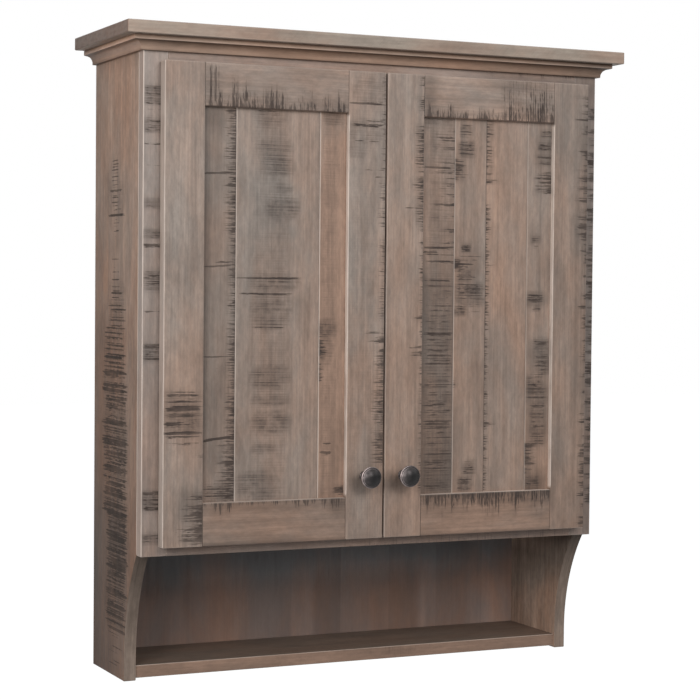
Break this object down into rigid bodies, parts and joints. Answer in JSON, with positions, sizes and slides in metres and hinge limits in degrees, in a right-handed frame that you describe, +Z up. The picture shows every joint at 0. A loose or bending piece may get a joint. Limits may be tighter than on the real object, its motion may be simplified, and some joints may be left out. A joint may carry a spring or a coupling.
{
  "type": "wall-mounted bathroom cabinet",
  "caption": "Wall-hung bathroom cabinet: face-frame case with hinged plank-panel doors and knobs, moulded crown on top and an open shelf with scooped sides below.",
  "frame": {"origin": "middle of the four wall-screw holes, on the wall plane", "axes": "+X to the right of someone facing the doors, +Y into the wall, +Z up"},
  "size_m": [0.8308, 0.2788, 0.9694],
  "materials": {
    "side_wood": "matt stained, rough-sawn",
    "face_frame_wood": "matt stained, rough-sawn",
    "crown_wood": "matt stained",
    "door_frame_wood": "matt stained, rough-sawn",
    "door_plank_wood": "matt stained, rough-sawn",
    "interior_wood": "matt stained",
    "knob_bronze": "dark oil-rubbed bronze, satin",
    "hinge_steel": "nickel plated",
    "bumper_rubber": "soft matt"
  },
  "bodies": {
    "case": {"back_panel": "interior_wood", "cabinet_floor": "interior_wood", "cabinet_top_panel": "interior_wood", "cap_screws": "hinge_steel", "crown_cap": "crown_wood", "crown_moulding_front": "crown_wood", "crown_moulding_left": "crown_wood", "crown_moulding_right": "crown_wood", "face_frame_bottom_rail": "face_frame_wood", "face_frame_dowels": "interior_wood", "face_frame_left_stile": "face_frame_wood", "face_frame_right_stile": "face_frame_wood", "face_frame_top_rail": "face_frame_wood", "left_hinge_arm_screws": "hinge_steel", "left_hinge_arms": "hinge_steel", "left_side_panel": "side_wood", "lower_adjustable_shelf": "interior_wood", "lower_hanging_rail": "interior_wood", "open_shelf": "interior_wood", "right_hinge_arm_screws": "hinge_steel", "right_hinge_arms": "hinge_steel", "right_side_panel": "side_wood", "shelf_pins": "hinge_steel", "upper_adjustable_shelf": "interior_wood", "upper_hanging_rail": "interior_wood"},
    "left_door": {"left_door_bottom_rail": "door_frame_wood", "left_door_bumpers": "bumper_rubber", "left_door_hinge_cup_screws": "hinge_steel", "left_door_hinge_cups": "hinge_steel", "left_door_hinge_pins": "hinge_steel", "left_door_hinge_stile": "door_frame_wood", "left_door_knob": "knob_bronze", "left_door_knob_screw": "hinge_steel", "left_door_lock_stile": "door_frame_wood", "left_door_plank_1": "door_plank_wood", "left_door_plank_2": "door_plank_wood", "left_door_plank_3": "door_plank_wood", "left_door_top_rail": "door_frame_wood"},
    "right_door": {"right_door_bottom_rail": "door_frame_wood", "right_door_bumpers": "bumper_rubber", "right_door_hinge_cup_screws": "hinge_steel", "right_door_hinge_cups": "hinge_steel", "right_door_hinge_pins": "hinge_steel", "right_door_hinge_stile": "door_frame_wood", "right_door_knob": "knob_bronze", "right_door_knob_screw": "hinge_steel", "right_door_lock_stile": "door_frame_wood", "right_door_plank_1": "door_plank_wood", "right_door_plank_2": "door_plank_wood", "right_door_plank_3": "door_plank_wood", "right_door_plank_4": "door_plank_wood", "right_door_top_rail": "door_frame_wood"}
  },
  "joints": [
    {"name": "left_door_hinge", "type": "hinge", "parent": "case", "child": "left_door", "pos_m": [-0.3486, -0.23845, 0], "axis": [0, 0, -1], "range_deg": [0, 95]},
    {"name": "right_door_hinge", "type": "hinge", "parent": "case", "child": "right_door", "pos_m": [0.3486, -0.23845, 0], "axis": [0, 0, 1], "range_deg": [0, 95]}
  ]
}
